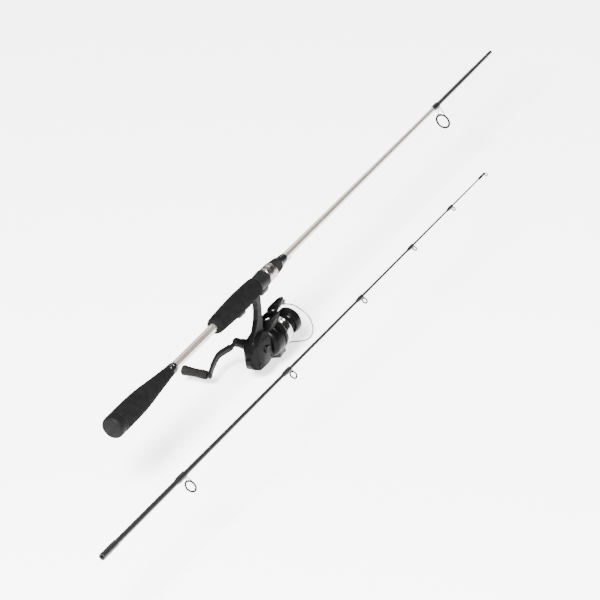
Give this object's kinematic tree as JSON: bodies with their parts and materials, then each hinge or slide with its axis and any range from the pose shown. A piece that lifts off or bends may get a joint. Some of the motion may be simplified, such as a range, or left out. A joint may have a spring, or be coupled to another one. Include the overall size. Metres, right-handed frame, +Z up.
{
  "type": "spinning rod and reel",
  "caption": "Two-piece spinning rod taken apart, with its split grip, ring guides and a spinning reel whose crank turns the rotor and bail",
  "frame": {"origin": "centre of the flat rear face of the butt cap, on the butt section's axis", "axes": "+X runs along the butt section towards the tip, +Y is the crank's side (left of the angler), +Z is up; the reel hangs in -Z and the tip section lies beside the butt section in -Y"},
  "size_m": [1.194, 0.236, 0.134],
  "materials": {
    "cap_rubber": "matte moulded rubber",
    "foam": "matte closed-cell foam",
    "black_gloss": "gloss black lacquer",
    "silver_lacquer": "metallic silver lacquer over composite tube, black from the stripper guide forward",
    "seat_black": "satin black graphite-filled plastic",
    "satin_silver": "satin anodised",
    "arbor": "plain moulding",
    "guide_metal": "black-plated wire",
    "black_blank": "gloss charcoal lacquer over composite tube",
    "guide_ring": "polished dark ceramic",
    "reel_grey": "satin dark grey",
    "reel_trim": "satin near-black",
    "gear_metal": "machined",
    "steel": "ground",
    "rotor_grey": "satin near-black",
    "bail_metal": "brushed brownish-grey steel wire",
    "polished_metal": "polished",
    "spool_black": "gloss black anodised",
    "felt": "felt",
    "crank_grey": "satin dark grey",
    "knob_rubber": "matte moulded rubber"
  },
  "bodies": {
    "butt_section": {"butt_cap": "cap_rubber", "rear_grip": "foam", "rear_grip_trim": "black_gloss", "butt_blank": "silver_lacquer", "fore_grip": "foam", "reel_seat": "seat_black", "seat_arbor": "arbor", "front_sleeve": "black_gloss", "hook_keeper": "guide_metal", "stripper_winding": "black_gloss", "stripper_frame": "guide_metal", "stripper_ring": "guide_ring", "reel_body": "reel_grey", "side_cover": "reel_grey", "rear_cover": "reel_trim", "axle_cap": "reel_trim", "drive_bearing_left": "steel", "drive_bearing_right": "steel", "pinion_bearing": "steel"},
    "seat_hood": {"sliding_hood": "seat_black"},
    "seat_nut": {"lock_nut": "seat_black", "lock_nut_ring": "satin_silver"},
    "tip_section": {"tip_blank": "black_blank", "ferrule_winding": "black_gloss", "tip_top_frame": "guide_metal", "tip_top_ring": "guide_ring", "guide_1_winding": "black_gloss", "guide_1_frame": "guide_metal", "guide_1_ring": "guide_ring", "guide_2_winding": "black_gloss", "guide_2_frame": "guide_metal", "guide_2_ring": "guide_ring", "guide_3_winding": "black_gloss", "guide_3_frame": "guide_metal", "guide_3_ring": "guide_ring", "guide_4_winding": "black_gloss", "guide_4_frame": "guide_metal", "guide_4_ring": "guide_ring", "guide_5_winding": "black_gloss", "guide_5_frame": "guide_metal", "guide_5_ring": "guide_ring"},
    "crank": {"drive_gear": "gear_metal", "crank_boss": "crank_grey"},
    "crank_lever": {"crank_arm": "crank_grey"},
    "crank_handle": {"crank_knob": "knob_rubber"},
    "cam_wheel": {"oscillation_gear": "gear_metal"},
    "rotor_head": {"pinion": "gear_metal", "rotor": "rotor_grey", "rotor_nut": "gear_metal"},
    "bail": {"bail_arm": "rotor_grey", "bail_wire": "bail_metal", "bail_holder": "rotor_grey"},
    "bail_roller": {"line_roller": "polished_metal"},
    "spool_shaft": {"main_shaft": "steel", "oscillation_slider": "steel"},
    "spool_cup": {"spool": "spool_black", "spool_band": "polished_metal", "drag_washers": "felt"},
    "drag_cap": {"drag_knob": "reel_trim"}
  },
  "joints": [
    {"name": "tip_section_fit", "type": "slide", "parent": "butt_section", "child": "tip_section", "axis": [0.9926, 0.1216, 0], "range_m": [0, 1.15941]},
    {"name": "seat_hood_slide", "type": "slide", "parent": "butt_section", "child": "seat_hood", "axis": [1, 0, 0], "range_m": [0, 0.012]},
    {"name": "seat_nut_turn", "type": "hinge", "parent": "seat_hood", "child": "seat_nut", "pos_m": [0.39, 0, 0], "axis": [1, 0, 0], "range_deg": [0, 1440.5]},
    {"name": "crank_turn", "type": "hinge", "parent": "butt_section", "child": "crank", "pos_m": [0.337, 0, -0.083], "axis": [0, 1, 0], "continuous": true},
    {"name": "crank_fold", "type": "hinge", "parent": "crank", "child": "crank_lever", "pos_m": [0.337, 0.031, -0.083], "axis": [0.4695, 0, -0.8829], "range_deg": [0, 90]},
    {"name": "crank_handle_spin", "type": "hinge", "parent": "crank_lever", "child": "crank_handle", "pos_m": [0.2902, 0.06, -0.10788], "axis": [0, 1, 0], "continuous": true},
    {"name": "cam_wheel_spin", "type": "hinge", "parent": "butt_section", "child": "cam_wheel", "pos_m": [0.3275, 0, -0.0881], "axis": [0, 1, 0], "continuous": true},
    {"name": "rotor_spin", "type": "hinge", "parent": "butt_section", "child": "rotor_head", "pos_m": [0.36, 0, -0.088], "axis": [1, 0, 0], "continuous": true},
    {"name": "bail_open", "type": "hinge", "parent": "rotor_head", "child": "bail", "pos_m": [0.385, 0, -0.088], "axis": [0, 0.1045, 0.9945], "range_deg": [0, 92]},
    {"name": "line_roller_spin", "type": "hinge", "parent": "bail", "child": "bail_roller", "pos_m": [0.419, 0.00923, -0.06715], "axis": [0, 0.1045, 0.9945], "continuous": true},
    {"name": "spool_stroke", "type": "slide", "parent": "butt_section", "child": "spool_shaft", "axis": [1, 0, 0], "range_m": [0, 0.009]},
    {"name": "spool_drag", "type": "hinge", "parent": "spool_shaft", "child": "spool_cup", "pos_m": [0.39, 0, -0.088], "axis": [1, 0, 0], "continuous": true},
    {"name": "drag_knob_turn", "type": "hinge", "parent": "spool_shaft", "child": "drag_cap", "pos_m": [0.41, 0, -0.088], "axis": [1, 0, 0], "range_deg": [-540, 540]}
  ],
  "couplings": [
    {"joint": "rotor_spin", "follows": "crank_turn", "ratio": -5.1429},
    {"joint": "cam_wheel_spin", "follows": "crank_turn", "ratio": -0.5},
    {"joint": "seat_nut_turn", "follows": "seat_hood_slide", "rad_per_m": 2094.4}
  ]
}
